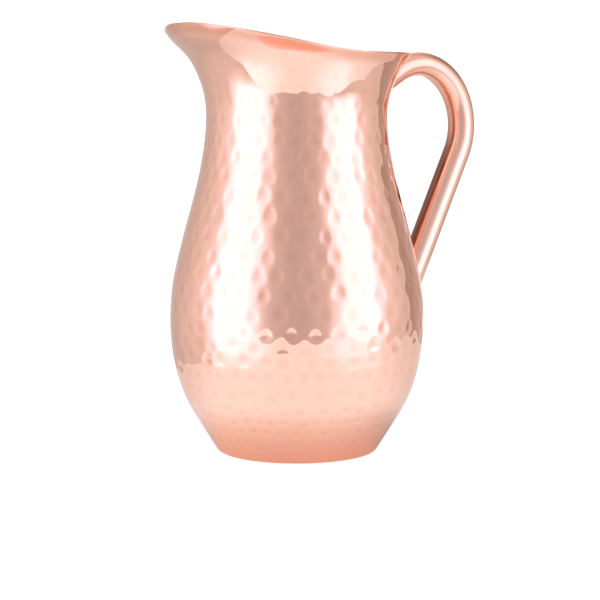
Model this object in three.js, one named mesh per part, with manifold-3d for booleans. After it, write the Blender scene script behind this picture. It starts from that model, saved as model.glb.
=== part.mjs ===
// Hammered copper water jug with a bent tube handle.
// Millimetres, +Z up. The origin is on the body's axis, in the plane that the jug stands on.
// The handle is on +X and the pouring lip on -X.

import * as THREE from 'three';
import { mergeVertices } from 'three/addons/utils/BufferGeometryUtils.js';
import Module from 'manifold-3d';

const wasm = await Module();
wasm.setup();

// Driving dimensions
const sheet = 1;                    // thickness of the body sheet and of the handle tube's wall
const gap = 0.3;                    // clearance left between pieces that are brazed together

// Outside of the body: [height, radius] at the foot corner, belly, neck and flare
const meridian = [
  [1.5, 43.9], [11, 49.9], [25, 58.3], [42, 64.8], [72, 68.5], [90, 67.2], [107, 63.6], [140, 55],
  [165, 49.8], [180, 48.6], [192, 49.7], [204, 53.8], [213, 59.5], [221, 67.4], [225.5, 69.8], [232, 71.2],
];
const footRadius = 41.3;            // where the flat of the foot turns up into the corner
const flangeRadius = 37.5;          // inner edge of the flange that the foot turns in to
const discThickness = 1;

const rimLow = 213.4;               // height of the rim at the handle
const rimHigh = 228.3;              // height of the rim at the lip
const rimClimb = [80, 176];         // degrees from the handle between which the rim climbs
const neckHeight = 180;             // above the neck the rim's height shapes the flare
const handleFlare = 1.6;            // the flare opens this much wider on the handle side

// Away from the lip the flare goes on opening up to its edge
const curlFrom = 216;               // height from which it leaves the meridian
const curlSlope = 1.06;             // slope that it leaves with
const curlBend = 0.01;              // how fast it opens from there
const curlFade = [130, 158];        // degrees from the handle over which this fades out

const tubeRadius = 7.5;
const bendCentre = [77, 174.5];     // x, z of the centre of the handle's elliptical bend
const bendSize = [30.1, 34.2];      // its half-width and half-height, to the tube's centre line
const bendStart = 118;              // angle on the ellipse where the bend begins, in degrees
const stubLength = 27;              // straight tube before the bend, most of it cut away inside the flare
const gripLean = 24.2;              // lean of the straight grip, in degrees
const gripFoot = 52;                // height at which the uncut grip would end inside the belly

const brazeWidth = 1.5;             // how far a braze fillet spreads along the tube and the body
const upperJoint = [180, rimLow];   // heights between which the handle meets the flare
const lowerJoint = [40, 115];       // and the belly

const segments = 48;                // round the body
const bodySteps = 17;               // up the body to the neck
const flareSteps = 8;               // from the neck to the rim
const cornerSteps = 3;              // round the corner of the foot
const beadSteps = 4;                // over the base seam's bead
const tubeSides = 16;               // an arc of a path gets two sides for each of its segments
const tubeSteps = 36;

// The body as a cutting tool for the handle
const coreSteps = 24;
const coreAxis = 0.01;              // its radius at the axis, where it is closed
const coreEnds = [30, 250];
const coreMargin = 5;               // extra height that keeps coincident ends out of a cut

const weldDistance = 1e-4;          // points closer than this become one

const degrees = THREE.MathUtils.DEG2RAD;
const { lerp, smoothstep } = THREE.MathUtils;

// Radius and slope of the meridian at a height, on a smooth curve through its points
function meridianAt(z) {
  const last = meridian.length - 1;
  const slopeAt = (i) => {
    const before = meridian[Math.max(i - 1, 0)];
    const after = meridian[Math.min(i + 1, last)];
    return (after[1] - before[1]) / (after[0] - before[0]);
  };
  if (z >= meridian[last][0]) {
    const slope = slopeAt(last);
    return { radius: meridian[last][1] + slope * (z - meridian[last][0]), slope };
  }
  let i = 0;
  while (i < last - 1 && z > meridian[i + 1][0]) i++;
  const span = meridian[i + 1][0] - meridian[i][0];
  const t = (z - meridian[i][0]) / span;
  const points = [meridian[i][1], meridian[i + 1][1]];
  const slopes = [slopeAt(i) * span, slopeAt(i + 1) * span];
  const radius = points[0] * (1 + 2 * t) * (1 - t) ** 2 + slopes[0] * t * (1 - t) ** 2
    + points[1] * t * t * (3 - 2 * t) + slopes[1] * t * t * (t - 1);
  const slope = ((points[0] - points[1]) * 6 * t * (t - 1)
    + slopes[0] * (1 - t) * (1 - 3 * t) + slopes[1] * t * (3 * t - 2)) / span;
  return { radius, slope };
}

// How much wider the flare is than its meridian at a height, away from the lip
function curlAt(z) {
  const above = Math.max(0, z - curlFrom);
  return meridianAt(curlFrom).radius + curlSlope * above + curlBend * above * above
    - meridianAt(Math.max(z, curlFrom)).radius;
}

// Outside radius of the body at an angle from +X, plus an offset measured square to the sheet
function bodyRadius(angle, z, offset = 0) {
  const { radius, slope } = meridianAt(z);
  const towardsHandle = ((1 + Math.cos(angle)) / 2) ** 2;
  const flare = handleFlare * towardsHandle * smoothstep(z, neckHeight, rimLow);
  const awayFromLip = 1 - smoothstep(Math.abs(angle) / degrees, ...curlFade);
  return radius + flare + curlAt(z) * awayFromLip + offset * Math.hypot(1, slope);
}

// Height of the rim at an angle from +X
function rimHeight(angle) {
  return lerp(rimLow, rimHigh, smoothstep(Math.abs(angle) / degrees, ...rimClimb));
}

// Moves a height above the neck up or down with the rim
function withRim(z, angle) {
  const share = Math.max(0, z - neckHeight) / (rimHigh - neckHeight);
  return z + share * (rimHeight(angle) - rimHigh);
}

// Closed surface from a closed outline of [radius, z] points that varies with the angle round +Z
function ringLoft(outlineAt, count) {
  const positions = [];
  const triangles = [];
  let size = 0;
  for (let i = 0; i < count; i++) {
    const angle = (i / count) * 2 * Math.PI - Math.PI;
    const outline = outlineAt(angle);
    size = outline.length;
    for (const [radius, z] of outline) {
      positions.push(radius * Math.cos(angle), radius * Math.sin(angle), z);
    }
  }
  for (let i = 0; i < count; i++) {
    const next = (i + 1) % count;
    for (let j = 0; j < size; j++) {
      const up = (j + 1) % size;
      const corners = [i * size + j, next * size + j, next * size + up, i * size + up];
      triangles.push(corners[0], corners[1], corners[2], corners[0], corners[2], corners[3]);
    }
  }
  const geometry = new THREE.BufferGeometry();
  geometry.setAttribute('position', new THREE.Float32BufferAttribute(positions, 3));
  geometry.setIndex(triangles);
  geometry.computeVertexNormals();
  return geometry;
}

// Heights from low to high, with both ends
function heights(low, high, steps) {
  return Array.from({ length: steps + 1 }, (_, i) => lerp(low, high, i / steps));
}

// The hammered body: flange, rounded foot corner, belly, neck, flare and oblique rim
function bodyShell() {
  const [cornerTop, cornerRadius] = meridian[0];
  const flatEnd = new THREE.Vector2(footRadius, 0);
  const sharpCorner = new THREE.Vector2(cornerRadius - cornerTop * meridianAt(cornerTop).slope, 0);
  const wallStart = new THREE.Vector2(cornerRadius, cornerTop);
  const footCorner = new THREE.QuadraticBezierCurve(flatEnd, sharpCorner, wallStart).getPoints(cornerSteps);
  const levels = [
    ...heights(cornerTop, neckHeight, bodySteps),
    ...heights(neckHeight, rimHigh, flareSteps).slice(1),
  ];
  const wall = (angle, offset) => levels.map((z) => {
    const level = withRim(z, angle);
    return [bodyRadius(angle, level, offset), level];
  });
  return ringLoft((angle) => [
    [flangeRadius, 0],
    ...footCorner.slice(0, -1).map((point) => point.toArray()),
    ...wall(angle, 0),
    ...wall(angle, -sheet).slice(1).reverse(),
    [footRadius, sheet],
    [flangeRadius, sheet],
  ], segments);
}

// Flat disc let into the foot
function baseDisc() {
  const geometry = new THREE.CylinderGeometry(flangeRadius - gap, flangeRadius - gap, discThickness, segments);
  geometry.rotateX(Math.PI / 2);
  geometry.translate(0, 0, discThickness / 2);
  return geometry;
}

// Bead of braze over the seam, inside the foot
function baseSeamBraze() {
  const outline = heights(0, 1, beadSteps).map((t) => [
    flangeRadius + brazeWidth * Math.cos(t * Math.PI),
    sheet + gap + (brazeWidth / 2) * Math.sin(t * Math.PI),
  ]);
  return ringLoft(() => outline, segments);
}

// Elliptical bend of the handle's centre line, in the XZ plane
class Bend extends THREE.Curve {
  constructor(from, to) {
    super();
    this.from = from;
    this.to = to;
  }

  getPoint(t) {
    const angle = lerp(this.from, this.to, t);
    return new THREE.Vector3(bendCentre[0] + bendSize[0] * Math.cos(angle), 0,
      bendCentre[1] + bendSize[1] * Math.sin(angle));
  }
}

// Centre line of the handle: a short stub in the flare, the bend and the straight grip
function handleLine() {
  const leanSlope = Math.tan(gripLean * degrees);
  const bend = new Bend(bendStart * degrees, -Math.atan(leanSlope * bendSize[1] / bendSize[0]));
  const top = bend.getPoint(0);
  const stubEnd = top.clone().addScaledVector(bend.getTangent(0), -stubLength);
  const bottom = bend.getPoint(1);
  const gripEnd = new THREE.Vector3(bottom.x - (bottom.z - gripFoot) * leanSlope, 0, gripFoot);
  const line = new THREE.CurvePath();
  line.add(new THREE.LineCurve3(stubEnd, top));
  line.add(bend);
  line.add(new THREE.LineCurve3(bottom, gripEnd));
  return line;
}

// Round section swept along the handle's centre line, hollow where a bore is given
function sweptTube(radius, bore) {
  const section = new THREE.Shape().absarc(0, 0, radius, 0, 2 * Math.PI);
  section.holes.push(new THREE.Path().absarc(0, 0, bore, 0, 2 * Math.PI, true));
  return new THREE.ExtrudeGeometry(section, {
    steps: tubeSteps,
    curveSegments: tubeSides / 2,
    extrudePath: handleLine(),
  });
}

// Everything inside the body's outer surface, grown by an offset, over a range of heights
function bodyCore(low, high, offset) {
  const levels = heights(low, high, coreSteps);
  const core = ringLoft((angle) => [
    [coreAxis, low],
    ...levels.map((z) => [bodyRadius(angle, z, offset), z]),
    [coreAxis, high],
  ], segments);
  return toSolid(core);
}

function toSolid(geometry) {
  const bare = geometry.clone();
  bare.deleteAttribute('normal');
  bare.deleteAttribute('uv');
  const merged = mergeVertices(bare, weldDistance);
  return new wasm.Manifold(new wasm.Mesh({
    numProp: 3,
    vertProperties: new Float32Array(merged.attributes.position.array),
    triVerts: new Uint32Array(merged.index.array),
  }));
}

function toGeometry(solid) {
  const mesh = solid.getMesh();
  const geometry = new THREE.BufferGeometry();
  geometry.setAttribute('position', new THREE.BufferAttribute(mesh.vertProperties, 3));
  geometry.setIndex(new THREE.BufferAttribute(mesh.triVerts, 1));
  geometry.computeVertexNormals();
  return geometry;
}

// The handle, with both ends cut to the shape of the body
function handleTube() {
  const tube = toSolid(sweptTube(tubeRadius, tubeRadius - sheet));
  return toGeometry(tube.subtract(bodyCore(...coreEnds, gap)));
}

// Fillet round one end of the handle, where it meets the body between two heights
function handleBraze(low, high) {
  const sleeve = toSolid(sweptTube(tubeRadius + gap + brazeWidth, tubeRadius + gap));
  const skin = bodyCore(low, high, gap + brazeWidth).subtract(bodyCore(low - coreMargin, high + coreMargin, gap));
  return toGeometry(sleeve.intersect(skin));
}

function piece(name, geometry, color, roughness) {
  const material = new THREE.MeshStandardMaterial({ color, roughness, metalness: 1 });
  const mesh = new THREE.Mesh(geometry, material);
  mesh.name = name;
  return mesh;
}

const copper = '#e8a284';
const brazeAlloy = '#e3c4ae';

const jug = new THREE.Group();
jug.name = 'copper_water_jug';
jug.add(
  piece('body_shell', bodyShell(), copper, 0.15),
  piece('base_disc', baseDisc(), copper, 0.3),
  piece('base_seam_braze', baseSeamBraze(), brazeAlloy, 0.4),
  piece('handle_tube', handleTube(), copper, 0.08),
  piece('upper_handle_braze', handleBraze(...upperJoint), brazeAlloy, 0.3),
  piece('lower_handle_braze', handleBraze(...lowerJoint), brazeAlloy, 0.3),
);

export default jug;
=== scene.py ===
"""Hammered copper water jug with a bent tube handle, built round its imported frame.

Blender objects are in metres, +Z up, with the handle on +X and the pouring lip on -X.
Shapes are worked out in millimetres, and new_mesh() turns them into metres.
"""

import math

import bpy
import numpy as np
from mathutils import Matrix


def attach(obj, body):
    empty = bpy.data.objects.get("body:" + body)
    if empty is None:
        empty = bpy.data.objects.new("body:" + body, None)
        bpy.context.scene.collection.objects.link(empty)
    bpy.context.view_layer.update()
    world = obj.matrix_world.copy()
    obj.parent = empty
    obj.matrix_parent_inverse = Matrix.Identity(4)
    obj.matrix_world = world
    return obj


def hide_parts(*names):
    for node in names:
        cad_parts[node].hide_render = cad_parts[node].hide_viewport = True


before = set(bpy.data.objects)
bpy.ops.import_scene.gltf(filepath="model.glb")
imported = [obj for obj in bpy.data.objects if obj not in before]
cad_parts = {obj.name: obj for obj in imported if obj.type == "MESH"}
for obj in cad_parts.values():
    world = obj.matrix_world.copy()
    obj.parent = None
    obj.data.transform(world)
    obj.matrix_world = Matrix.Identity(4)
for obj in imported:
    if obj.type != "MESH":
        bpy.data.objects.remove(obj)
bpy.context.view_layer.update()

METRE = 1000.0                      # millimetres in a metre
TURN = 2 * math.pi

# Body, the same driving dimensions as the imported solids
SHEET = 1.0                         # thickness of the copper sheet and of the tube's wall
MERIDIAN = [                        # outside of the body: height, radius
    (1.5, 43.9), (11, 49.9), (25, 58.3), (42, 64.8), (72, 68.5), (90, 67.2), (107, 63.6), (140, 55),
    (165, 49.8), (180, 48.6), (192, 49.7), (204, 53.8), (213, 59.5), (221, 67.4), (225.5, 69.8), (232, 71.2),
]
FOOT_RADIUS = 41.3                  # of the flat underside, up to the foot's rounded corner
FLANGE_RADIUS = 37.5                # of the hole in the foot, which the base disc fills
NECK_HEIGHT = 180.0
RIM_LOW, RIM_HIGH = 213.4, 228.3
RIM_CLIMB = (math.radians(80), math.radians(176))   # angles from the handle between which the rim climbs
HANDLE_FLARE = 1.6                  # how much wider the flare is towards the handle

# Away from the lip the flare goes on opening up to its edge
CURL_FROM, CURL_BEND = 216.0, 0.010
CURL_FADE = (math.radians(158), math.radians(130))
# and is turned out a little more just below the rim
RIM_CURL, RIM_CURL_DEPTH = 0.016, 5.6
RIM_CURL_FADE = (math.radians(62), math.radians(95))


# ---------------------------------------------------------------- shape of the body

def smooth(value, low, high):
    """0 below low, 1 above high, with no corner between. low may be the larger one."""
    t = np.clip((value - low) / (high - low), 0, 1)
    return t * t * (3 - 2 * t)


class Spline:
    """Natural cubic spline through (height, radius) points, straight beyond its ends."""

    def __init__(self, points):
        self.x, self.y = np.array(points, float).T
        step, rise = np.diff(self.x), np.diff(self.y)
        count = len(self.x)
        system, right = np.eye(count), np.zeros(count)
        for i in range(1, count - 1):
            system[i, i - 1: i + 2] = step[i - 1], 2 * (step[i - 1] + step[i]), step[i]
            right[i] = 6 * (rise[i] / step[i] - rise[i - 1] / step[i - 1])
        self.bend = np.linalg.solve(system, right)

    def __call__(self, x):
        x = np.asarray(x, float)
        inside = np.clip(x, self.x[0], self.x[-1])
        i = np.clip(np.searchsorted(self.x, inside) - 1, 0, len(self.x) - 2)
        step = self.x[i + 1] - self.x[i]
        a, b = (self.x[i + 1] - inside) / step, (inside - self.x[i]) / step
        curve = ((a**3 - a) * self.bend[i] + (b**3 - b) * self.bend[i + 1]) * step**2 / 6
        slope = ((self.y[i + 1] - self.y[i]) / step
                 + ((3 * b**2 - 1) * self.bend[i + 1] - (3 * a**2 - 1) * self.bend[i]) * step / 6)
        return a * self.y[i] + b * self.y[i + 1] + curve + slope * (x - inside)


meridian = Spline(MERIDIAN)
CURL_START = meridian(CURL_FROM + 0.5) - meridian(CURL_FROM - 0.5)


def body_radius(angle, z):
    """Outside radius of the body at an angle from +X."""
    towards_handle = ((1 + np.cos(angle)) / 2) ** 2
    above = np.maximum(0, z - CURL_FROM)
    opened = meridian(CURL_FROM) + CURL_START * above + CURL_BEND * above**2
    curl = opened - meridian(np.maximum(z, CURL_FROM))
    near_rim = np.maximum(0, z - rim_height(angle) + RIM_CURL_DEPTH)
    turned_out = RIM_CURL * near_rim**2 * smooth(np.abs(angle), *RIM_CURL_FADE)
    radius = meridian(z) + (curl + turned_out) * smooth(np.abs(angle), *CURL_FADE)
    return radius + HANDLE_FLARE * towards_handle * smooth(z, NECK_HEIGHT, RIM_LOW)


def rim_height(angle):
    return RIM_LOW + (RIM_HIGH - RIM_LOW) * smooth(np.abs(angle), *RIM_CLIMB)


def with_rim(z, angle):
    """Moves a height above the neck up or down with the rim."""
    share = np.maximum(0, z - NECK_HEIGHT) / (RIM_HIGH - NECK_HEIGHT)
    return z + share * (rim_height(angle) - SHEET / 2 - RIM_HIGH)


def round_axis(radius, angle, z):
    """Points round the body's axis."""
    return np.stack([radius * np.cos(angle), radius * np.sin(angle), z + 0 * angle], -1)


def on_body(angle, z):
    return round_axis(body_radius(angle, z), angle, z)


def angle_of(points):
    return np.arctan2(points[..., 1], points[..., 0])


def unit(vectors):
    return vectors / np.linalg.norm(vectors, axis=-1, keepdims=True)


def body_normal(angle, z):
    """Outward normal of the smooth body."""
    nudge = 1e-3
    round_body = on_body(angle + nudge, z) - on_body(angle - nudge, z)
    up_body = on_body(angle, z + nudge) - on_body(angle, z - nudge)
    return unit(np.cross(round_body, up_body))


def height_outside(points):
    """How far points lie outside the body, measured square to its axis."""
    return np.hypot(points[..., 0], points[..., 1]) - body_radius(angle_of(points), points[..., 2])


# ---------------------------------------------------------------- meshes

def linked(name, data):
    """A new object in the scene."""
    made = bpy.data.objects.new(name, data)
    bpy.context.scene.collection.objects.link(made)
    return made


def new_mesh(name, points, faces, fields=None):
    """A smooth-shaded object from millimetre points, with per-point fields for its material."""
    mesh = bpy.data.meshes.new(name)
    mesh.from_pydata((np.asarray(points) / METRE).tolist(), [], faces)
    for field, values in (fields or {}).items():
        mesh.attributes.new(field, "FLOAT", "POINT").data.foreach_set("value", values.astype(np.float32))
    mesh.shade_smooth()
    mesh.validate()
    return linked(name, mesh)


def stitch(lower, upper):
    """Faces between two closed rows of point numbers. A row may have half the points of the other."""
    low, up = len(lower), len(upper)
    if low == up:
        return [(lower[i], lower[(i + 1) % low], upper[(i + 1) % up], upper[i]) for i in range(low)]
    if low == 2 * up:
        return [(lower[2 * i], lower[2 * i + 1], lower[(2 * i + 2) % low], upper[(i + 1) % up], upper[i])
                for i in range(up)]
    return [(lower[i], lower[(i + 1) % low], upper[(2 * i + 2) % up], upper[2 * i + 1], upper[2 * i])
            for i in range(low)]


def loft(rows, closed):
    """Points and faces of a surface through rows of points, each row a closed ring."""
    starts = np.cumsum([0] + [len(row) for row in rows])
    numbers = [list(range(starts[i], starts[i + 1])) for i in range(len(rows))]
    faces = []
    for i in range(len(rows) - (0 if closed else 1)):
        faces += stitch(numbers[i], numbers[(i + 1) % len(rows)])
    return np.concatenate(rows), faces


def angles_round(count):
    return np.arange(count) / count * TURN


def between(start, corner, end, t):
    """Place at share t of a curve from start to end, pulled towards corner."""
    return (1 - t) ** 2 * start + 2 * t * (1 - t) * corner + t * t * end


def lumps(random, angles, waves, least):
    """Unevenness of a ring of braze: waves round it, each with a random strength and place."""
    return sum(random.uniform(least, 1) * np.sin(k * angles + random.uniform(0, TURN)) for k in waves)


# ---------------------------------------------------------------- hammered shell

# Hammer blows: height of a row and the number of blows in it, up to the belly's widest part
LOW_ROWS = [
    (11.5, 44), (18.3, 47), (23.7, 47), (30.3, 36), (39.4, 34), (49, 46), (57, 36), (64, 34), (71.5, 34),
]
ROW_STEP, ROW_COUNT = 9.8, 34       # of the rows above those
FIRST_PHASE = 0.27                  # turns the whole pattern, as a share of a row's pitch
ROW_STAGGER = 0.5                   # of each row against the one below it, as a share of the pitch
# How the blows change with height: height, half-width and half-height of a dimple, and its depth
STRIKES = [
    (8, 2.6, 2.4, 0.09), (30, 3.2, 3.0, 0.16), (58, 3.9, 4.0, 0.27), (100, 3.7, 4.6, 0.25),
    (130, 3.4, 4.9, 0.20), (180, 3.1, 4.7, 0.15), (200, 2.6, 3.4, 0.06), (216, 2.4, 2.8, 0.04),
    (223, 2.4, 2.4, 0.0),
]
# The unevenness of handwork
ROW_SHIFT, BLOW_SHIFT = 0.12, 0.10  # of a whole row and of one blow, as a share of the pitch
BLOW_RISE = 0.7                     # of one blow above or below its row
SIZES = (0.84, 1.14)
WIDTHS = (0.92, 1.08)
DEPTHS = (0.55, 1.35)
TILTS = (-0.15, 0.35)               # share of the depth that moves from a dimple's head to its foot
# Shape of a dimple
DIMPLE_REACH = 1.3                  # how far from its middle it is worked out, in its half sizes
DIMPLE_TAPER = 0.3                  # makes it narrower at its head and wider at its foot
DIMPLE_EDGE = 0.012                 # rounds its edge

# Around the handle's joints the sheet is smooth: height and half-height of each patch
JOINTS = ((201.0, 12.0), (80.0, 19.0))
JOINT_HALF_WIDTH = 9.5
JOINT_FADE = (0.9, 1.6)             # in half sizes of the patch

# Long shallow waves in the sheet: how many go round, phase, and how far up the body shifts them a radian
WAVES = ((5, 0.4, 21.0), (9, 2.1, -13.0), (14, 4.0, 9.0))
WAVE_DEPTH = 0.05
WAVE_FADE = (0, 20)                 # heights

# Mesh
COLUMNS, ROWS = 416, 210            # of the outer surface
MERIDIAN_STEPS = 4000
SPARSE_FROM, SPARSE_SHARE = 196, 0.55       # above this height the rows are thinned to this share
CORNER_SHARES = (0.0, 0.2, 0.4, 0.6, 0.8)   # places along the foot's rounded corner
EDGE_STEPS = 7                      # from the outside to the inside of the rim's rounded edge
FLANGE_BEVEL = 0.2
# The lining has half the columns, and one row for every few rows of the outer surface
FINE_STRIDE, COARSE_STRIDE = 3, 5   # in its upper and in its lower part
FINE_DOWN_TO = int(ROWS * 0.45)     # row of the outer surface where the two meet
LINING_END = 3                      # row above which the lining ends, at the flange

# The lining loses its polish between these heights, and is told from the outside by its depth in the sheet
UNPOLISHED_FADE = (212, 188)
LINING_DEPTH = (0.6, 0.9)


def meridian_table():
    """Heights up the body, and the distance along the meridian to each."""
    z = np.linspace(MERIDIAN[0][0], RIM_HIGH, MERIDIAN_STEPS)
    along = np.concatenate([[0], np.cumsum(np.hypot(np.diff(z), np.diff(meridian(z))))])
    return z, along


def hammer_blows(random):
    """Angle, height, half-width, half-height, depth and tilt of each blow."""
    rows = list(LOW_ROWS)
    while rows[-1][0] < STRIKES[-1][0]:
        rows.append((rows[-1][0] + ROW_STEP, ROW_COUNT))
    knots = np.array(STRIKES).T
    blows = []
    phase = FIRST_PHASE
    for z, count in rows:
        half_width, half_height, deep = (np.interp(z, knots[0], knot) for knot in knots[1:])
        phase += ROW_STAGGER + random.uniform(-ROW_SHIFT, ROW_SHIFT)
        for k in range(count):
            angle = (k + phase + random.normal(0, BLOW_SHIFT)) / count * TURN
            size = random.uniform(*SIZES)
            height = z + random.normal(0, BLOW_RISE)
            wide = half_width * size * random.uniform(*WIDTHS)
            depth = deep * random.uniform(*DEPTHS)
            tilt = random.uniform(*TILTS)
            blows.append((angle, height, wide, half_height * size, depth, tilt))
    return blows


def dents(angles, alongs, levels, blows):
    """Depth of the hammering over a grid, and how near each point is to the middle of a blow."""
    depth = np.zeros((len(alongs), len(angles)))
    mark = np.zeros_like(depth)
    radii = meridian(levels)
    pitch = angles[1] - angles[0]
    for angle, z, half_width, half_height, deep, tilt in blows:
        at = np.interp(z, levels, alongs)
        near = np.nonzero(np.abs(alongs - at) < half_height * DIMPLE_REACH)[0]
        if not len(near):
            continue
        reach = half_width * DIMPLE_REACH / radii[near[len(near) // 2]]
        first = math.floor((angle - reach - angles[0]) / pitch)
        last = math.ceil((angle + reach - angles[0]) / pitch)
        span = np.arange(first, last + 1)
        upwards = (alongs[near] - at)[:, None] / half_height
        sideways = (angles[0] + span * pitch - angle) * radii[near][:, None] / half_width
        bowl = 1 - (sideways * (1 + DIMPLE_TAPER * upwards)) ** 2 - upwards**2
        at_blow = (near[:, None], span % len(angles))
        mark[at_blow] = np.maximum(mark[at_blow], bowl)
        bowl = 0.5 * (bowl + np.sqrt(bowl**2 + DIMPLE_EDGE)) - DIMPLE_EDGE
        bowl = np.maximum(0, deep * bowl * (1 - tilt * upwards))
        depth[at_blow] = np.maximum(depth[at_blow], bowl)
    return depth, mark


def clear_of_handle(points):
    """0 where the handle is brazed to the body, so that the sheet is smooth there, and 1 away from it."""
    keep = np.ones(points.shape[:-1])
    for z_joint, half_height in JOINTS:
        away = np.hypot(points[..., 1] / JOINT_HALF_WIDTH, (points[..., 2] - z_joint) / half_height)
        keep = np.minimum(keep, np.where(points[..., 0] > 0, smooth(away, *JOINT_FADE), 1))
    return keep


def hammered_surface(angles):
    """Points of the outside over a grid, outward normals, and how near each point is to a blow's middle."""
    z_table, along_table = meridian_table()
    spread = np.where(z_table < SPARSE_FROM, 1.0, SPARSE_SHARE)
    spaced = np.concatenate([[0], np.cumsum(np.diff(along_table) * spread[1:])])
    levels = np.interp(np.linspace(0, spaced[-1], ROWS), spaced, z_table)
    alongs = np.interp(levels, z_table, along_table)
    depth, mark = dents(angles, alongs, levels, hammer_blows(np.random.RandomState(11)))

    angle_grid, level_grid = np.meshgrid(angles, levels)
    z_grid = with_rim(level_grid, angle_grid)
    smooth_points = on_body(angle_grid, z_grid)
    normals = body_normal(angle_grid, z_grid)
    depth = depth * clear_of_handle(smooth_points)
    for count, phase, slant in WAVES:
        wave = WAVE_DEPTH * np.sin(count * angle_grid + phase + alongs[:, None] / slant)
        depth += wave * smooth(level_grid, *WAVE_FADE)
    return smooth_points - normals * depth[..., None], normals, mark


def body_shell():
    angles = angles_round(COLUMNS) - math.pi
    outside, normals, mark = hammered_surface(angles)
    inside = outside - normals * SHEET

    foot_z, foot_radius = MERIDIAN[0]
    sharp = foot_radius - foot_z * (meridian(foot_z + 1) - foot_radius)
    corner = [round_axis(between(FOOT_RADIUS, sharp, foot_radius, t), angles, between(0, 0, foot_z, t))
              for t in CORNER_SHARES]

    along_wall = unit(outside[-1] - outside[-2])
    middle = (outside[-1] + inside[-1]) / 2
    edge = [middle + SHEET / 2 * (normals[-1] * math.cos(a) + along_wall * math.sin(a))
            for a in np.linspace(0, math.pi, EDGE_STEPS)[1:-1]]

    fine_rows = list(range(ROWS - FINE_STRIDE, FINE_DOWN_TO, -FINE_STRIDE))
    lined_rows = fine_rows + list(range(fine_rows[-1] - COARSE_STRIDE, LINING_END, -COARSE_STRIDE))
    lining = list(inside[lined_rows, ::2])
    flange = [round_axis(radius, angles[::2], z) for radius, z in (
        (FOOT_RADIUS, SHEET), (FLANGE_RADIUS + FLANGE_BEVEL, SHEET), (FLANGE_RADIUS, SHEET - FLANGE_BEVEL),
        (FLANGE_RADIUS, FLANGE_BEVEL), (FLANGE_RADIUS + FLANGE_BEVEL, 0.0))]
    points, faces = loft(corner + list(outside) + edge + [inside[-1]] + lining + flange, closed=True)

    dent = np.concatenate([
        np.zeros(len(corner) * COLUMNS), mark.ravel(), np.zeros((len(edge) + 1) * COLUMNS),
        mark[lined_rows, ::2].ravel(), np.zeros(len(flange) * COLUMNS // 2),
    ])
    below_rim = rim_height(angle_of(points)) - points[:, 2]
    deep_inside = smooth(-height_outside(points), *LINING_DEPTH) * smooth(points[:, 2], *UNPOLISHED_FADE)
    fields = {"dent": dent, "below_rim": below_rim, "deep_inside": deep_inside}
    return new_mesh("hammered_body", points, faces, fields)


# ---------------------------------------------------------------- base

DISC_SIDES = 160
DISC_GAP = 0.12                     # between the disc and the flange
DISC_BEVEL = 0.15
DISC_RINGS = [6, 14, 24, 32]        # radii of the rings on each face of the disc

SEAM_SIDES, SEAM_STEPS = 240, 9
SEAM_HALF_WIDTH, SEAM_HEIGHT = 1.5, 0.75
SEAM_LIFT = 0.02                    # above the sheet
SEAM_UNEVEN = (0.06, 0.05)          # shares of its width and of its height
SEAM_WAVES, SEAM_LEAST = (7, 12, 19, 31, 44), 0.3


def base_disc():
    angles = angles_round(DISC_SIDES)
    radius = FLANGE_RADIUS - DISC_GAP
    flat = radius - DISC_BEVEL
    outline = [(flat, 0), (radius, DISC_BEVEL), (radius, SHEET - DISC_BEVEL), (flat, SHEET)]
    lower = [(r, 0) for r in DISC_RINGS]
    upper = [(r, SHEET) for r in reversed(DISC_RINGS)]
    rows = [round_axis(r, angles, z) for r, z in lower + outline + upper]
    points, faces = loft(rows, closed=False)
    bottom_middle, top_middle = len(points), len(points) + 1
    last = len(points) - DISC_SIDES
    points = np.concatenate([points, [(0, 0, 0), (0, 0, SHEET)]])
    faces += [(bottom_middle, (i + 1) % DISC_SIDES, i) for i in range(DISC_SIDES)]
    faces += [(top_middle, last + i, last + (i + 1) % DISC_SIDES) for i in range(DISC_SIDES)]
    return new_mesh("base_plate", points, faces)


def base_seam_braze():
    angles = angles_round(SEAM_SIDES)
    uneven = lumps(np.random.RandomState(5), angles, SEAM_WAVES, SEAM_LEAST)
    half_width = SEAM_HALF_WIDTH * (1 + SEAM_UNEVEN[0] * uneven)
    rows = []
    for a in np.linspace(0, math.pi, SEAM_STEPS):
        z = SHEET + SEAM_LIFT + SEAM_HEIGHT * math.sin(a) * (1 + SEAM_UNEVEN[1] * uneven)
        rows.append(round_axis(FLANGE_RADIUS + half_width * math.cos(a), angles, z))
    points, faces = loft(rows, closed=True)
    return new_mesh("base_seam_bead", points, faces)


# ---------------------------------------------------------------- handle

# Centre line in the XZ plane: a straight stub out of the flare, an elliptical bend, and a straight grip
STUB_LENGTH = 27.0
BEND_CENTRE = np.array((77.0, 174.5))
BEND_SIZE = np.array((30.1, 34.2))
BEND_START = math.radians(118)
GRIP_LEAN = math.radians(24.2)
GRIP_FOOT = 52.0                    # height at which the line ends, inside the body
LINE_STEPS, BEND_STEPS = 900, 600
LINE_SMOOTHING = 30                 # times that the line's heading is averaged with its neighbours

# Section
TUBE_RADIUS = 7.5
TOP_PLACE, TOP_SPREAD = 12.0, 24.0  # of the flattened stretch, along the line from the end of the stub
TOP_THINNER, TOP_WIDER = 0.85, 0.3  # what it takes off the radius in the handle's plane, and adds across it
TUBE_SIDES, TUBE_STEPS = 64, 230
BORE_STRIDE = 6                     # rows of the outside to one row of the bore

# Fillets of braze at its ends
FILLET_SIDES, FILLET_STEPS = 96, 7
FILLET_WIDTH = 1.1
FILLET_UNEVEN = 0.1
FILLET_WAVES, FILLET_LEAST = (3, 5, 8, 13), 0.4
FILLET_SUNK = 0.12                  # how far it reaches into the sheet and the tube
LEAST_ROOM = 0.05                   # for it under the rim


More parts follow.
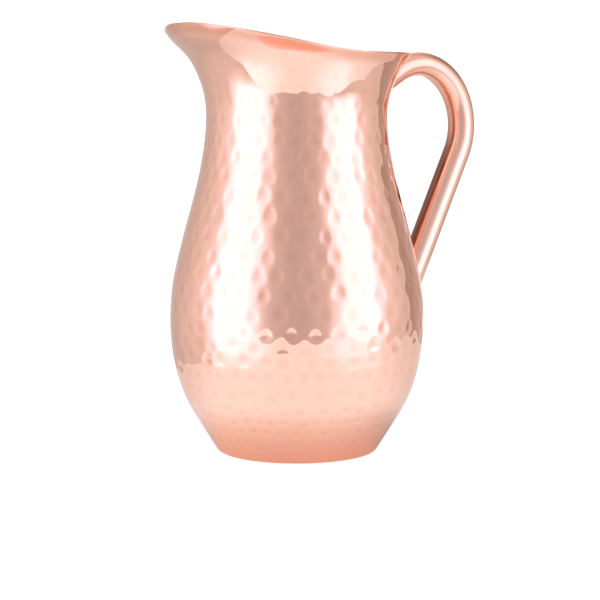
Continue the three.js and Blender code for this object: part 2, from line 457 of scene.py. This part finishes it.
def handle_line():
    """Centre line of the handle in the XZ plane, and its outward normal there, from the flare down."""
    bend_end = -math.atan(math.tan(GRIP_LEAN) * BEND_SIZE[1] / BEND_SIZE[0])
    turn = np.linspace(BEND_START, bend_end, BEND_STEPS)
    bend = BEND_CENTRE + BEND_SIZE * np.stack([np.cos(turn), np.sin(turn)], -1)
    stub = bend[0] - unit(bend[1] - bend[0]) * STUB_LENGTH
    drop = bend[-1][1] - GRIP_FOOT
    foot = bend[-1] - np.array([drop * math.tan(GRIP_LEAN), drop])
    line = np.concatenate([[stub], bend, [foot]])
    along = np.concatenate([[0], np.cumsum(np.linalg.norm(np.diff(line, axis=0), axis=1))])
    even = np.linspace(0, along[-1], LINE_STEPS)
    line = np.stack([np.interp(even, along, line[:, i]) for i in range(2)], -1)
    heading = unit(np.gradient(line, axis=0))
    for _ in range(LINE_SMOOTHING):
        heading[1:-1] = unit(heading[:-2] + heading[1:-1] * 2 + heading[2:])
    outward = np.stack([-heading[:, 1], heading[:, 0]], -1)
    return line, outward, even


def tube_strings(thin, sides):
    """Lines along the tube's surface, cut where they meet the body. thin is how far inside the outside."""
    line, outward, even = handle_line()
    over_top = np.exp(-((even - STUB_LENGTH - TOP_PLACE) / TOP_SPREAD) ** 2)
    in_plane = TUBE_RADIUS - TOP_THINNER * over_top - thin
    across = TUBE_RADIUS + TOP_WIDER * over_top - thin
    strings = []
    for angle in angles_round(sides):
        side = across * math.cos(angle)
        rise = in_plane * math.sin(angle)
        points = np.stack([line[:, 0] + outward[:, 0] * rise, side, line[:, 1] + outward[:, 1] * rise], -1)
        out = height_outside(points)
        # The string is cut on both sides of its middle, where it first meets the body
        middle = len(out) // 2
        first = middle - np.argmax(out[middle::-1] <= 0)
        last = middle + np.argmax(out[middle:] <= 0)
        start = first - out[first] / (out[first + 1] - out[first])
        end = last - 1 - out[last - 1] / (out[last] - out[last - 1])
        steps = np.linspace(start, end, TUBE_STEPS)
        strings.append(np.stack([np.interp(steps, np.arange(len(out)), points[:, i]) for i in range(3)], -1))
    return np.array(strings)


def handle_tube():
    outer = tube_strings(0.0, TUBE_SIDES)
    inner = tube_strings(SHEET, TUBE_SIDES)
    outside = [outer[:, i] for i in range(TUBE_STEPS)]
    bore = [inner[:, i] for i in [*range(TUBE_STEPS - 1, 0, -BORE_STRIDE), 0]]
    points, faces = loft(outside + bore, closed=True)
    towards_body = -np.sin(angles_round(TUBE_SIDES))
    inner_side = np.concatenate([np.tile(towards_body, TUBE_STEPS), np.zeros(TUBE_SIDES * len(bore))])
    return new_mesh("handle_bent_tube", points, faces, {"inner_side": inner_side})


def handle_braze(name, strings, seed):
    """Concave fillet round the end of the tube: strings run from the joint up the tube."""
    corner = strings[:, 0]
    up_tube = unit(strings[:, 2] - corner)
    angle = angle_of(corner)
    normal = body_normal(angle, corner[:, 2])
    away = corner - corner.mean(0)
    away = unit(away - (away * normal).sum(-1, keepdims=True) * normal)
    uneven = lumps(np.random.RandomState(seed), angles_round(len(corner)), FILLET_WAVES, FILLET_LEAST)
    width = FILLET_WIDTH * (1 + FILLET_UNEVEN * uneven)
    # Under the rim the fillet is no wider than the sheet that is left above the joint
    room = np.maximum(rim_height(angle) - SHEET / 2 - corner[:, 2], LEAST_ROOM)
    climb = np.maximum(away[:, 2], 1e-3)
    spread = np.where(away[:, 2] > 0, np.minimum(width, room / climb), width)
    on_tube = corner + up_tube * width[:, None]
    far = corner + away * spread[:, None]
    on_sheet = on_body(angle_of(far), far[:, 2])
    rows = []
    for t in np.linspace(0, 1, FILLET_STEPS):
        bulge = FILLET_SUNK * (normal * t + away * (1 - t)) / 2
        rows.append(between(on_tube, corner, on_sheet, t) + bulge)
    rows.append(on_sheet - normal * FILLET_SUNK)
    rows.append(corner - normal * FILLET_SUNK - away * FILLET_SUNK)
    rows.append(on_tube - away * FILLET_SUNK)
    points, faces = loft(rows, closed=True)
    return new_mesh(name, points, faces)


# ---------------------------------------------------------------- shader nodes

def material(name, colour, roughness):
    made = bpy.data.materials.new(name)
    made.use_nodes = True
    shader = made.node_tree.nodes["Principled BSDF"]
    shader.inputs["Metallic"].default_value = 1.0
    shader.inputs["Base Color"].default_value = (*colour, 1.0)
    shader.inputs["Roughness"].default_value = roughness
    return made, made.node_tree, shader


def node(tree, kind, inputs=(), **settings):
    """A node with its settings, and its inputs given as values or as other nodes' sockets."""
    made = tree.nodes.new(kind)
    for key, value in settings.items():
        setattr(made, key, value)
    for key, value in dict(inputs).items():
        if isinstance(value, bpy.types.NodeSocket):
            tree.links.new(value, made.inputs[key])
        else:
            made.inputs[key].default_value = value
    return made


def noise(tree, coordinates, scale, detail, roughness=0.5):
    inputs = {"Vector": coordinates, "Scale": scale, "Detail": detail, "Roughness": roughness}
    return node(tree, "ShaderNodeTexNoise", inputs).outputs["Fac"]


def ramp(tree, value, low, high, to_low=0, to_high=1):
    """Goes smoothly from to_low to to_high while value goes from low to high. low may be the larger one."""
    inputs = {"Value": value, "From Min": low, "From Max": high, "To Min": to_low, "To Max": to_high}
    return node(tree, "ShaderNodeMapRange", inputs, interpolation_type="SMOOTHSTEP").outputs["Result"]


def blotches(tree, place, scale, detail, spread, values, roughness=0.5):
    """A value that varies over the surface: noise, with its spread stretched over the two values."""
    return ramp(tree, noise(tree, place, scale, detail, roughness), *spread, *values)


def arithmetic(tree, operation, a, b):
    return node(tree, "ShaderNodeMath", {0: a, 1: b}, operation=operation).outputs[0]


def product(tree, a, b):
    return arithmetic(tree, "MULTIPLY", a, b)


def total(tree, *terms):
    result = terms[0]
    for term in terms[1:]:
        result = arithmetic(tree, "ADD", result, term)
    return result


def colour_mix(tree, share, first, second):
    made = node(tree, "ShaderNodeMix", {0: share}, data_type="RGBA")
    for socket, value in ((6, first), (7, second)):
        if isinstance(value, bpy.types.NodeSocket):
            tree.links.new(value, made.inputs[socket])
        else:
            made.inputs[socket].default_value = (*value, 1.0)
    return made.outputs[2]


def object_place(tree):
    return node(tree, "ShaderNodeTexCoord").outputs["Object"]


def field(tree, name):
    """One of the per-point fields of a mesh."""
    return node(tree, "ShaderNodeAttribute", attribute_name=name).outputs["Fac"]


def relief(tree, shader, height, strength, distance):
    bump = node(tree, "ShaderNodeBump", {"Strength": strength, "Distance": distance, "Height": height})
    tree.links.new(bump.outputs["Normal"], shader.inputs["Normal"])


# ---------------------------------------------------------------- materials

COPPER = (0.95, 0.59, 0.465)
COPPER_DEEP = (0.92, 0.52, 0.40)
# Painted reflection: a darker orange band just under the rim, standing in for the jug mirroring itself
COPPER_RIM_REFLECTION = (0.86, 0.46, 0.34)
COPPER_BENT = (0.90, 0.51, 0.38)
# Dark brown of the painted shade on the handle's side that faces the body
COPPER_SHADE_BROWN = (0.30, 0.14, 0.10)
BRAZE = (0.86, 0.72, 0.62)

# Body
DENT_DEEPENING = (0.3, 0.95, 0.0, 0.6)        # nearness to a blow's middle, and how much deeper the colour is there
DENT_ROUGHNESS = (0.5, 1.0, 0.0, 0.04)
RIM_REFLECTION = (3.0, 7.0, 1, 0)               # millimetres below the rim, and the share there of the painted reflection's colour
UNPOLISHED_ROUGHNESS = 0.35

# Handle, with its heights in metres
BENT_HEIGHTS = (0.160, 0.202)               # over which the metal of the bend grows rougher and a deeper copper colour
BENT_ROUGHNESS = 0.16
SHADED_SIDE = (0.84, 0.93)               # how squarely the metal faces the body where it is painted brown as shade
# Heights in metres: the painted shade is full below the first and gone above the second
SHADED_HEIGHTS = (0.15, 0.2, 1, 0)

# Base disc and braze
TURNED_RINGS = {"Scale": 420.0, "Distortion": 0.6, "Detail": 2.0}
RINGS_ROUGHNESS = (0.2, 0.32)
GRAIN_ROUGHNESS = (0.3, 0.7, 0.14, 0.34)    # depth of the grain, and the roughness there


def hammered_copper():
    made, tree, shader = material("hammered_copper", COPPER, roughness=0.05)
    place = object_place(tree)
    dent = field(tree, "dent")
    bloom = blotches(tree, place, scale=14, detail=3, spread=(0.42, 0.75), values=(0.0, 0.35))
    # The colour deepens in random blotches and towards the middle of each blow
    deeper_tone = arithmetic(tree, "MAXIMUM", bloom, ramp(tree, dent, *DENT_DEEPENING))
    plain = colour_mix(tree, deeper_tone, COPPER, COPPER_DEEP)
    # Painted reflection: the band of darker orange under the rim, in place of the flare mirroring the jug
    rim_reflection = ramp(tree, field(tree, "below_rim"), *RIM_REFLECTION)
    tree.links.new(colour_mix(tree, rim_reflection, plain, COPPER_RIM_REFLECTION), shader.inputs["Base Color"])
    smear = blotches(tree, place, scale=60, detail=4, roughness=0.6, spread=(0.35, 0.8), values=(0.03, 0.075))
    unpolished = product(tree, field(tree, "deep_inside"), UNPOLISHED_ROUGHNESS)
    rough = total(tree, smear, ramp(tree, dent, *DENT_ROUGHNESS), unpolished)
    tree.links.new(rough, shader.inputs["Roughness"])
    relief(tree, shader, noise(tree, place, scale=170, detail=2), strength=0.05, distance=0.0004)
    return made


def polished_copper():
    made, tree, shader = material("polished_copper", COPPER, roughness=0.04)
    place = object_place(tree)
    height = node(tree, "ShaderNodeSeparateXYZ", {0: place}).outputs["Z"]
    bent = ramp(tree, height, *BENT_HEIGHTS)
    bloom = blotches(tree, place, scale=22, detail=3, spread=(0.45, 0.8), values=(0.0, 0.3))
    bend_toned = colour_mix(tree, bent, colour_mix(tree, bloom, COPPER, COPPER_DEEP), COPPER_BENT)
    # Painted shade: dark brown over the low part of the handle's side that faces the body
    painted_shade = product(tree, ramp(tree, field(tree, "inner_side"), *SHADED_SIDE),
                        ramp(tree, height, *SHADED_HEIGHTS))
    tree.links.new(colour_mix(tree, painted_shade, bend_toned, COPPER_SHADE_BROWN), shader.inputs["Base Color"])
    smear = blotches(tree, place, scale=90, detail=4, roughness=0.6, spread=(0.4, 0.8), values=(0.025, 0.07))
    tree.links.new(total(tree, smear, product(tree, bent, BENT_ROUGHNESS)), shader.inputs["Roughness"])
    return made


def base_copper():
    made, tree, shader = material("base_copper", COPPER_DEEP, roughness=0.25)
    place = object_place(tree)
    rings = node(tree, "ShaderNodeTexWave", {"Vector": place, **TURNED_RINGS},
                 wave_type="RINGS", rings_direction="Z").outputs["Fac"]
    tree.links.new(ramp(tree, rings, 0, 1, *RINGS_ROUGHNESS), shader.inputs["Roughness"])
    relief(tree, shader, rings, strength=0.15, distance=0.0001)
    patches = blotches(tree, place, scale=40, detail=3, spread=(0.4, 0.7), values=(0.0, 0.5))
    tree.links.new(colour_mix(tree, patches, COPPER_DEEP, COPPER), shader.inputs["Base Color"])
    return made


def braze_alloy():
    made, tree, shader = material("braze_alloy", BRAZE, roughness=0.2)
    place = object_place(tree)
    grain = noise(tree, place, scale=500, detail=3)
    tree.links.new(ramp(tree, grain, *GRAIN_ROUGHNESS), shader.inputs["Roughness"])
    relief(tree, shader, grain, strength=0.2, distance=0.0002)
    patches = blotches(tree, place, scale=160, detail=2, spread=(0.4, 0.65), values=(0.0, 0.8))
    tree.links.new(colour_mix(tree, patches, BRAZE, COPPER), shader.inputs["Base Color"])
    return made


# ---------------------------------------------------------------- studio

JUG_TURN = math.radians(30)         # the camera stands this far round from square on, on the lip's side
CAMERA_DISTANCE, CAMERA_HEIGHT = 0.957, 0.1916
CAMERA_PITCH, CAMERA_YAW = math.radians(6.57), math.radians(-0.1)
SENSOR_WIDTH, LENS = 36.0, 106.8

# Corners of the floor, and of the table as it lies seen from the camera's side, and the height of both
FLOOR = [(-6.0, -6.0), (6.0, -6.0), (6.0, 6.0), (-6.0, 6.0)]
TABLE = [(-0.34, -0.44), (0.35, -0.44), (0.35, 0.30), (-0.12, 0.30)]
FLOOR_LEVEL = -0.0002
FLOOR_GREY, FLOOR_GLOW = (0.35, 0.35, 0.35), 0.85
WHITE_LEVEL = 1.3                   # of the room as the camera sees it

# Bands of light: the angles where each begins, reaches its strength, leaves it and ends, and that strength.
# Angles are in degrees round the jug from the camera's side, positive on the handle's side.
LEFT_BOX = ((-98, -70, -51, -20), 1.08)
RIGHT_BOX = ((24, 50, 70, 92), 1.0)
LEFT_SPILL = ((-128, -92, -88, -50), 0.26)
RIGHT_SPILL = ((50, 84, 86, 118), 0.27)
LEFT_POOL = ((-84, -62, -46, -10), 0.9)
RIGHT_POOL = ((12, 46, 56, 76), 0.7)
TABLE_SHADE = ((10, 100, 120, 178), -0.26)

# The heights where the bands fade. A height is the upward part of a direction, from -1 to 1.
LEFT_BOX_FOOT = (-0.66, -0.42)
RIGHT_BOX_FOOT = (-0.42, -0.22)
BOXES_HEAD = (0.6, 0.72, 1, 0)
SPILL_FOOT = (-0.4, 0.1, 0.25, 1)

# The wall: angles either side of the camera, and its strength there
WALL_LEVEL = (0, 30, 0.60, 0.73)
# and the steps in it round the back: the angles where each begins and ends, and what it adds
BACK_STEPS = ((121, 124, -0.30), (124, 150, 0.12), (-120, -145, -0.13), (155, 176, 0.9), (-162, -178, 0.35))
CEILING, CEILING_LEVEL = (0.6, 0.85), 0.9
# High up the back is darker: heights with what they add, and how far a direction points away from the camera
HIGH_BACK, BACKWARDS = (0.2, 0.4, 0, -0.2), (0.05, 0.4)

# The table: angles either side of the camera, and its strength there
TABLE_LEVEL = (55, 135, 1.14, 0.80)
# and the distances from the jug's axis, in metres, where its lights and colours begin and end
POOL_REACH = (0.13, 0.30, 0.03, 0.5)
SHADE_REACH = (0.11, 0.06)
COPPER_REACH = (0.034, 0.09)

# Colours of the light, and the angles or the strengths between which each takes over from the one before
ROSY_WALL = (1.05, 0.96, 0.99)
WARM_WALL, WARM_ANGLES = (1.06, 0.97, 0.95), (28, 48)
ORANGE_WALL, ORANGE_ANGLES = (1.10, 0.90, 0.82), (120, 124)
COOL_LIGHT, COOL_STRENGTHS = (0.97, 0.97, 1.16), (0.0, 0.7)
PALE_TABLE = (1.0, 1.0, 1.04)
WARM_TABLE, WARM_TABLE_ANGLES = (1.06, 0.97, 0.94), (80, 140)
COOL_POOL, COOL_POOL_STRENGTHS = (1.0, 1.0, 1.14), (0.0, 0.3)
COPPER_TABLE = (0.72, 0.44, 0.34)


def degrees_round(tree, x, y):
    """Angle round +Z from the camera's side: positive on the handle's side, -180 to 180."""
    return product(tree, arithmetic(tree, "ARCTAN2", x, product(tree, y, -1.0)), 180 / math.pi)


def band(tree, turn, edges, strength):
    """strength between the middle two of four angles, fading to 0 at the outer two."""
    rise = ramp(tree, turn, edges[0], edges[1], 0, strength)
    return product(tree, rise, ramp(tree, turn, edges[2], edges[3], 1, 0))


def floor_paint():
    made, _, shader = material("pale_floor", FLOOR_GREY, 0.8)
    shader.inputs["Metallic"].default_value = 0.0
    shader.inputs["Specular IOR Level"].default_value = 0.0
    shader.inputs["Emission Color"].default_value = (1, 1, 1, 1)
    shader.inputs["Emission Strength"].default_value = FLOOR_GLOW
    return made


def glowing_table():
    """What the copper mirrors of the table: bright under the softboxes, copper-coloured close to the foot."""
    made = bpy.data.materials.new("mirrored_table")
    made.use_nodes = True
    tree = made.node_tree
    tree.nodes.clear()
    place = object_place(tree)
    split = node(tree, "ShaderNodeSeparateXYZ", {0: place})
    turn = degrees_round(tree, split.outputs["X"], split.outputs["Y"])
    away = arithmetic(tree, "ABSOLUTE", turn, 0.0)
    distance = node(tree, "ShaderNodeVectorMath", {0: place}, operation="LENGTH").outputs["Value"]
    pools = total(tree, band(tree, turn, *LEFT_POOL), band(tree, turn, *RIGHT_POOL))
    pools = product(tree, pools, ramp(tree, distance, *POOL_REACH))
    shade = product(tree, band(tree, turn, *TABLE_SHADE), ramp(tree, distance, *SHADE_REACH))
    level = total(tree, pools, ramp(tree, away, *TABLE_LEVEL), shade)
    tint = colour_mix(tree, ramp(tree, away, *WARM_TABLE_ANGLES), PALE_TABLE, WARM_TABLE)
    tint = colour_mix(tree, ramp(tree, pools, *COOL_POOL_STRENGTHS), tint, COOL_POOL)
    tint = colour_mix(tree, ramp(tree, distance, *COPPER_REACH), COPPER_TABLE, tint)
    glow = node(tree, "ShaderNodeEmission", {"Color": tint, "Strength": level})
    node(tree, "ShaderNodeOutputMaterial", {0: glow.outputs[0]})
    return made


def flat_piece(name, corners, paint):
    mesh = bpy.data.meshes.new(name)
    mesh.from_pydata([(x, y, FLOOR_LEVEL) for x, y in corners], [], [(0, 1, 2, 3)])
    mesh.materials.append(paint)
    piece = linked(name, mesh)
    return piece


def floors():
    """A floor that only the camera sees, and the table that the copper mirrors."""
    floor = flat_piece("floor", FLOOR, floor_paint())
    floor.visible_glossy = False
    table = flat_piece("table", TABLE, glowing_table())
    table.rotation_euler.z = -JUG_TURN
    table.visible_camera = False
    table.visible_diffuse = False
    table.visible_shadow = False


def room():
    """White for the camera. The copper mirrors two softboxes, the wall all round and a pale ceiling."""
    world = bpy.data.worlds.new("studio")
    bpy.context.scene.world = world
    world.use_nodes = True
    tree = world.node_tree
    tree.nodes.clear()
    towards = node(tree, "ShaderNodeTexCoord").outputs["Generated"]
    towards = node(tree, "ShaderNodeVectorRotate", {"Vector": towards, "Angle": JUG_TURN},
                   rotation_type="Z_AXIS").outputs[0]
    split = node(tree, "ShaderNodeSeparateXYZ", {0: towards})
    turn = degrees_round(tree, split.outputs["X"], split.outputs["Y"])
    away = arithmetic(tree, "ABSOLUTE", turn, 0.0)
    up = split.outputs["Z"]

    left_box = product(tree, band(tree, turn, *LEFT_BOX), ramp(tree, up, *LEFT_BOX_FOOT))
    right_box = product(tree, band(tree, turn, *RIGHT_BOX), ramp(tree, up, *RIGHT_BOX_FOOT))
    boxes = product(tree, total(tree, left_box, right_box), ramp(tree, up, *BOXES_HEAD))
    spill = total(tree, band(tree, turn, *LEFT_SPILL), band(tree, turn, *RIGHT_SPILL))
    spill = product(tree, spill, ramp(tree, up, *SPILL_FOOT))
    behind = total(tree, *(ramp(tree, turn, low, high, 0, gain) for low, high, gain in BACK_STEPS))
    walls = total(tree, ramp(tree, away, *WALL_LEVEL), boxes, spill, behind)
    level = node(tree, "ShaderNodeMix", {0: ramp(tree, up, *CEILING), 2: walls, 3: CEILING_LEVEL}).outputs[0]
    high_back = product(tree, ramp(tree, up, *HIGH_BACK), ramp(tree, split.outputs["Y"], *BACKWARDS))
    level = total(tree, level, high_back)

    colour = colour_mix(tree, ramp(tree, away, *WARM_ANGLES), ROSY_WALL, WARM_WALL)
    colour = colour_mix(tree, ramp(tree, turn, *ORANGE_ANGLES), colour, ORANGE_WALL)
    colour = colour_mix(tree, ramp(tree, total(tree, boxes, spill), *COOL_STRENGTHS), colour, COOL_LIGHT)
    mirrored = node(tree, "ShaderNodeBackground", {"Color": colour, "Strength": level})
    white = node(tree, "ShaderNodeBackground", {"Color": (1, 1, 1, 1), "Strength": WHITE_LEVEL})
    seen = node(tree, "ShaderNodeLightPath").outputs["Is Camera Ray"]
    mixed = node(tree, "ShaderNodeMixShader", {0: seen, 1: mirrored.outputs[0], 2: white.outputs[0]})
    node(tree, "ShaderNodeOutputWorld", {0: mixed.outputs[0]})


def camera():
    view = bpy.data.cameras.new("camera")
    view.sensor_width, view.lens = SENSOR_WIDTH, LENS
    placed = linked("camera", view)
    across, back = -CAMERA_DISTANCE * math.sin(JUG_TURN), -CAMERA_DISTANCE * math.cos(JUG_TURN)
    placed.location = (across, back, CAMERA_HEIGHT)
    placed.rotation_euler = (math.pi / 2 - CAMERA_PITCH, 0, CAMERA_YAW - JUG_TURN)
    bpy.context.scene.camera = placed


# ---------------------------------------------------------------- the jug

def finish_piece(piece, paint, node_name):
    piece.data.materials.append(paint)
    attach(piece, "root")
    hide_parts(node_name)


camera()
floors()
room()
bpy.context.scene.view_settings.view_transform = "Standard"

braze = braze_alloy()
finish_piece(body_shell(), hammered_copper(), "body_shell")
finish_piece(base_disc(), base_copper(), "base_disc")
finish_piece(base_seam_braze(), braze, "base_seam_braze")
finish_piece(handle_tube(), polished_copper(), "handle_tube")
downwards = tube_strings(0.0, FILLET_SIDES)
upwards = downwards[:, ::-1]
finish_piece(handle_braze("upper_braze_fillet", downwards, 21), braze, "upper_handle_braze")
finish_piece(handle_braze("lower_braze_fillet", upwards, 22), braze, "lower_handle_braze")
